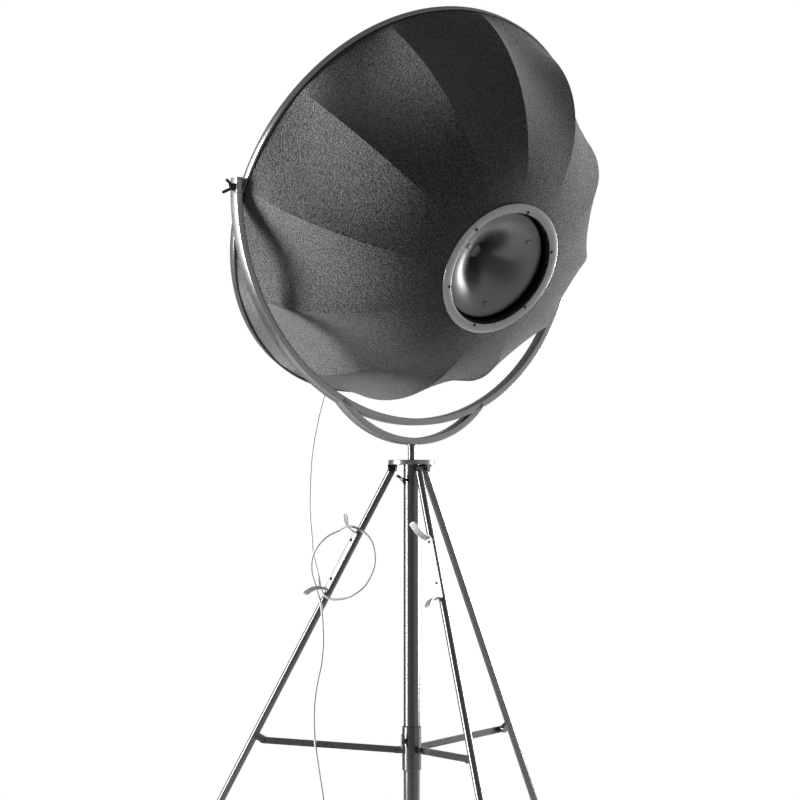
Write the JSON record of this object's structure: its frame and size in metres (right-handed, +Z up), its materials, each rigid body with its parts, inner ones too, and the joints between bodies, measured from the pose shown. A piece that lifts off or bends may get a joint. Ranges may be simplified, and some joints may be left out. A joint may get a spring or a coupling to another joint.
{
  "type": "tripod spotlight floor lamp",
  "caption": "Tall floor lamp: a large ribbed dome of grey felt, lit from inside, tilts in a semicircular yoke on a folding tripod with a central pole; its cord loops round a hook.",
  "frame": {"origin": "on the floor, on the axis of the pole", "axes": "+Z up; +Y away from the side that the picture shows, +X to its right"},
  "size_m": [0.9542, 0.9465, 1.9139],
  "materials": {
    "dark_metal": "satin",
    "grey_metal": "satin",
    "bright_steel": "satin",
    "black_metal": "satin",
    "black_plastic": "matte",
    "foot_rubber": "matte",
    "felt": "matte",
    "holder_plastic": "matte",
    "bulb_glass": "frosted",
    "cord_sheath": "matte"
  },
  "bodies": {
    "mast": {"top_plate": "grey_metal", "pole": "dark_metal", "stem_bush": "black_plastic", "pole_cap": "black_plastic", "leg_brackets": "black_metal", "hinge_pins": "bright_steel", "cord_tail": "cord_sheath", "cord_coil": "cord_sheath", "plug": "cord_sheath"},
    "stem_lock": {"wing_screw": "black_metal"},
    "collar": {"collar": "dark_metal", "collar_pins": "bright_steel"},
    "collar_lock": {"thumb_screw": "dark_metal"},
    "arm_a": {"arm_a": "dark_metal"},
    "arm_b": {"arm_b": "dark_metal"},
    "arm_c": {"arm_c": "dark_metal"},
    "leg_a": {"leg_a": "dark_metal", "foot_a": "foot_rubber", "cord_hook_a": "bright_steel", "hook_screws_a": "black_metal", "cord_loop": "cord_sheath"},
    "leg_b": {"leg_b": "dark_metal", "foot_b": "foot_rubber", "cord_hook_b": "bright_steel", "hook_screws_b": "black_metal"},
    "leg_c": {"leg_c": "dark_metal", "foot_c": "foot_rubber"},
    "lift_guide": {"lift_guide": "black_plastic"},
    "yoke": {"stem": "dark_metal", "cradle": "grey_metal", "yoke": "grey_metal"},
    "head": {"tilt_bolts": "bright_steel", "pivot_spacers": "black_plastic", "rim": "grey_metal", "clamp_hoop": "dark_metal", "cord_tab": "dark_metal", "shade": "felt", "ribs": "dark_metal", "hub_ring": "grey_metal", "hub_clamp_ring": "dark_metal", "hub_screws": "black_metal", "hub_tray": "black_metal", "dish": "dark_metal", "dish_spacers": "black_metal", "dish_screws": "dark_metal", "neck_tube": "dark_metal", "lamp_holder": "holder_plastic", "bulb": "bulb_glass", "strain_relief": "black_plastic", "inner_lead": "cord_sheath", "cord_drop": "cord_sheath"},
    "wing_nut_left": {"wing_nut_left": "black_metal"},
    "wing_nut_right": {"wing_nut_right": "black_metal"}
  },
  "joints": [
    {"name": "leg_a_fold", "type": "hinge", "parent": "mast", "child": "leg_a", "pos_m": [-0.04136, 0.00729, 0.946], "axis": [-0.1736, -0.9848, 0], "range_deg": [0, 25.3], "deforming": ["cord_tail", "cord_loop"]},
    {"name": "leg_b_fold", "type": "hinge", "parent": "mast", "child": "leg_b", "pos_m": [0.01436, -0.03947, 0.946], "axis": [0.9397, 0.342, 0], "range_deg": [0, 25.3]},
    {"name": "leg_c_fold", "type": "hinge", "parent": "mast", "child": "leg_c", "pos_m": [0.027, 0.03217, 0.946], "axis": [-0.766, 0.6428, 0], "range_deg": [0, 25.3]},
    {"name": "collar_slide", "type": "slide", "parent": "mast", "child": "collar", "axis": [0, 0, 1], "range_m": [0, 0.2438]},
    {"name": "arm_a_turn", "type": "hinge", "parent": "collar", "child": "arm_a", "pos_m": [-0.03151, 0.00556, 0.343], "axis": [-0.1736, -0.9848, 0], "range_deg": [0, 89.9]},
    {"name": "arm_b_turn", "type": "hinge", "parent": "collar", "child": "arm_b", "pos_m": [0.01094, -0.03007, 0.343], "axis": [0.9397, 0.342, 0], "range_deg": [0, 89.9]},
    {"name": "arm_c_turn", "type": "hinge", "parent": "collar", "child": "arm_c", "pos_m": [0.02057, 0.02451, 0.343], "axis": [-0.766, 0.6428, 0], "range_deg": [0, 89.9]},
    {"name": "stem_lift", "type": "slide", "parent": "mast", "child": "lift_guide", "axis": [0, 0, 1], "range_m": [0, 0.5], "deforming": ["cord_drop"]},
    {"name": "yoke_pan", "type": "hinge", "parent": "lift_guide", "child": "yoke", "pos_m": [0, 0, 0.98], "axis": [0, 0, 1], "range_deg": [-120, 120]},
    {"name": "head_tilt", "type": "hinge", "parent": "yoke", "child": "head", "pos_m": [0, 0, 1.5165], "axis": [0.7738, 0.6334, 0], "range_deg": [-88, 61]},
    {"name": "stem_lock_turn", "type": "hinge", "parent": "mast", "child": "stem_lock", "pos_m": [-0.01928, -0.02298, 0.922], "axis": [-0.6428, -0.766, 0], "range_deg": [0, 180]},
    {"name": "collar_lock_turn", "type": "hinge", "parent": "collar", "child": "collar_lock", "pos_m": [-0.01928, -0.02298, 0.362], "axis": [-0.6428, -0.766, 0], "range_deg": [0, 180]},
    {"name": "wing_nut_left_turn", "type": "hinge", "parent": "head", "child": "wing_nut_left", "pos_m": [-0.36456, -0.29839, 1.5165], "axis": [-0.7738, -0.6334, 0], "range_deg": [0, 180]},
    {"name": "wing_nut_right_turn", "type": "hinge", "parent": "head", "child": "wing_nut_right", "pos_m": [0.36456, 0.29839, 1.5165], "axis": [0.7738, 0.6334, 0], "range_deg": [0, 180]}
  ],
  "couplings": [
    {"joint": "leg_b_fold", "follows": "leg_a_fold", "ratio": 1},
    {"joint": "leg_c_fold", "follows": "leg_a_fold", "ratio": 1},
    {"joint": "collar_slide", "follows": "leg_a_fold", "m_per_rad": 0.55208},
    {"joint": "arm_a_turn", "follows": "leg_a_fold", "ratio": 3.5507},
    {"joint": "arm_b_turn", "follows": "leg_a_fold", "ratio": 3.5507},
    {"joint": "arm_c_turn", "follows": "leg_a_fold", "ratio": 3.5507}
  ]
}
